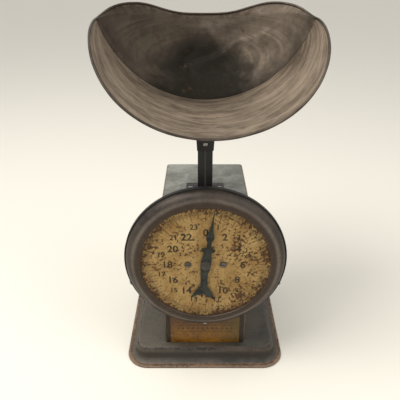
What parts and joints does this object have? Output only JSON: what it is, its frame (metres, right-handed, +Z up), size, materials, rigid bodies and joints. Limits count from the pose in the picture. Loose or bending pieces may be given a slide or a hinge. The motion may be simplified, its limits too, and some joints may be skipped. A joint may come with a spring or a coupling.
{
  "type": "mechanical dial scale",
  "caption": "Household dial scale: a tin scoop on a sprung post above a steel case with a round dial and pointer, on a stamped base.",
  "frame": {"origin": "centre of the underside of the base, on the surface that the scale stands on", "axes": "+Z up, -Y out of the dial towards the person reading it, +X to that person's right"},
  "size_m": [0.2538, 0.2147, 0.4198],
  "materials": {
    "base_enamel": "satin",
    "case_enamel": "satin",
    "band_varnish": "gloss",
    "pan_black": "satin",
    "bezel_steel": "satin",
    "dial_paper": "matte",
    "pointer_steel": "satin",
    "bright_steel": "satin",
    "black_steel": "satin",
    "brass": "satin",
    "tin": "satin",
    "spring_steel": "satin"
  },
  "bodies": {
    "stand": {"base": "base_enamel", "bottom_plate": "black_steel", "case_shell": "case_enamel", "case_rivets": "black_steel", "frame_rivets": "black_steel", "back_cover": "case_enamel", "back_cover_screws": "bright_steel", "name_band": "band_varnish", "top_guide": "black_steel", "top_guide_screws": "bright_steel", "lower_guide": "black_steel", "movement_frame": "black_steel", "dial_pan": "pan_black", "pan_rivets": "black_steel", "bezel": "bezel_steel", "bezel_screws": "bright_steel", "dial_plate": "dial_paper", "dial_pillars": "brass", "dial_screws": "pointer_steel", "front_bush": "brass", "rear_bush": "brass", "shaft_bracket": "black_steel", "spring_left": "spring_steel", "spring_right": "spring_steel"},
    "hanger": {"spring_hanger": "bright_steel", "upper_spring_plugs": "bright_steel", "upper_spring_nuts": "bright_steel"},
    "zero": {"zero_screw": "brass"},
    "stem": {"post": "black_steel", "post_saddle": "black_steel", "saddle_rivets": "bright_steel", "load_bar": "bright_steel", "lower_spring_plugs": "bright_steel", "lower_spring_nuts": "bright_steel", "rack": "brass", "rack_bracket": "bright_steel"},
    "pointer": {"pointer": "pointer_steel", "pointer_hub": "pointer_steel", "pointer_shaft": "bright_steel", "pinion": "brass"},
    "scoop": {"scoop_trough": "tin", "scoop_back": "tin", "scoop_rim_wire": "tin", "scoop_seam_strap": "tin", "scoop_foot": "tin"}
  },
  "joints": [
    {"name": "stem_slide", "type": "slide", "parent": "stand", "child": "stem", "axis": [0, 0, -1], "range_m": [0, 0.0249], "stiffness_N_per_m": 4196, "springref_m": -0.0048, "deforming": ["spring_left", "spring_right"]},
    {"name": "pointer_turn", "type": "hinge", "parent": "stand", "child": "pointer", "pos_m": [0, 0, 0.1586], "axis": [0, 1, 0], "range_deg": [0, 352.5]},
    {"name": "zero_turn", "type": "hinge", "parent": "stand", "child": "zero", "pos_m": [0, -0.032, 0.2133], "axis": [0, 0, 1], "range_deg": [-360, 360]},
    {"name": "hanger_lift", "type": "slide", "parent": "stand", "child": "hanger", "axis": [0, 0, 1], "range_m": [-0.0008, 0.0008]},
    {"name": "scoop_lift", "type": "slide", "parent": "stem", "child": "scoop", "axis": [0, 0, 1], "range_m": [0, 0.08]}
  ],
  "couplings": [
    {"joint": "pointer_turn", "follows": "stem_slide", "rad_per_m": 246.91},
    {"joint": "zero_turn", "follows": "hanger_lift", "rad_per_m": -7854}
  ]
}
